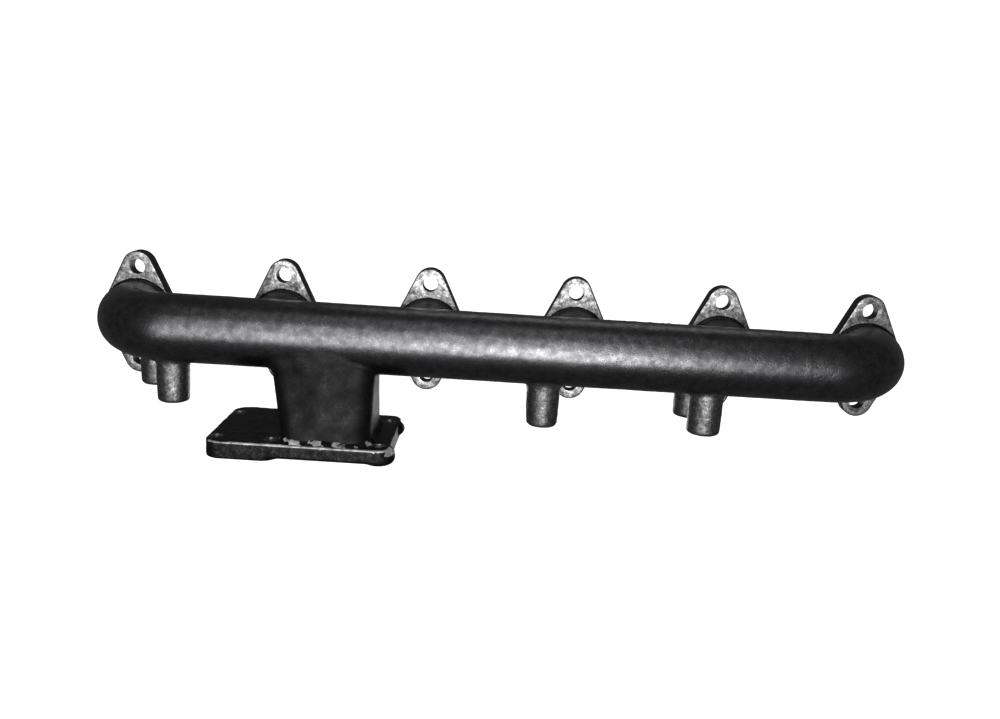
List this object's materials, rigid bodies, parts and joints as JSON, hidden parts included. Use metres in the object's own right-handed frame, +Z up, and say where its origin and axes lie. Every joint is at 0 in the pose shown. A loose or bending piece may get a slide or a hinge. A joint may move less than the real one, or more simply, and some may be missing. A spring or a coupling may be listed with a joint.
{
  "type": "exhaust manifold",
  "caption": "Log exhaust manifold: a straight tube with elbows at its ends, two-ear head flanges, round bosses and a short riser to a turbocharger flange.",
  "frame": {"origin": "middle of the head bolt pattern, on the head mating face", "axes": "+X along the log from port 1 to port 6, +Y towards the cylinder head, +Z up"},
  "size_m": [0.741, 0.1259, 0.1548],
  "materials": {
    "scaled_tube": "black scaled steel tube, semi-gloss, pitted",
    "port_flange": "sawn and ground plate, silvery and mottled, machined spot faces",
    "weld_metal": "rippled weld bead",
    "turbo_plate": "black scaled plate",
    "riser_steel": "matt dark grey steel",
    "boss_steel": "dark turned steel, satin"
  },
  "bodies": {
    "root": {"port_flange_1": "port_flange", "flange_weld_1": "weld_metal", "port_flange_2": "port_flange", "flange_weld_2": "weld_metal", "port_flange_3": "port_flange", "flange_weld_3": "weld_metal", "port_flange_4": "port_flange", "flange_weld_4": "weld_metal", "port_flange_5": "port_flange", "flange_weld_5": "weld_metal", "port_flange_6": "port_flange", "flange_weld_6": "weld_metal", "runner_2": "scaled_tube", "runner_weld_2": "weld_metal", "runner_3": "scaled_tube", "runner_weld_3": "weld_metal", "runner_4": "scaled_tube", "runner_weld_4": "weld_metal", "runner_5": "scaled_tube", "runner_weld_5": "weld_metal", "end_elbow_left": "scaled_tube", "elbow_butt_weld_left": "scaled_tube", "end_elbow_right": "scaled_tube", "elbow_butt_weld_right": "scaled_tube", "log_pipe": "scaled_tube", "outlet_riser": "riser_steel", "riser_divider": "riser_steel", "turbo_flange": "turbo_plate", "riser_foot_weld": "weld_metal", "riser_saddle_weld": "weld_metal", "boss_front_left": "boss_steel", "boss_weld_front_left": "weld_metal", "boss_rear_left": "boss_steel", "boss_weld_rear_left": "weld_metal", "boss_middle": "boss_steel", "boss_weld_middle": "weld_metal", "boss_front_right": "boss_steel", "boss_weld_front_right": "weld_metal", "boss_rear_right": "boss_steel", "boss_weld_rear_right": "weld_metal"}
  },
  "joints": []
}
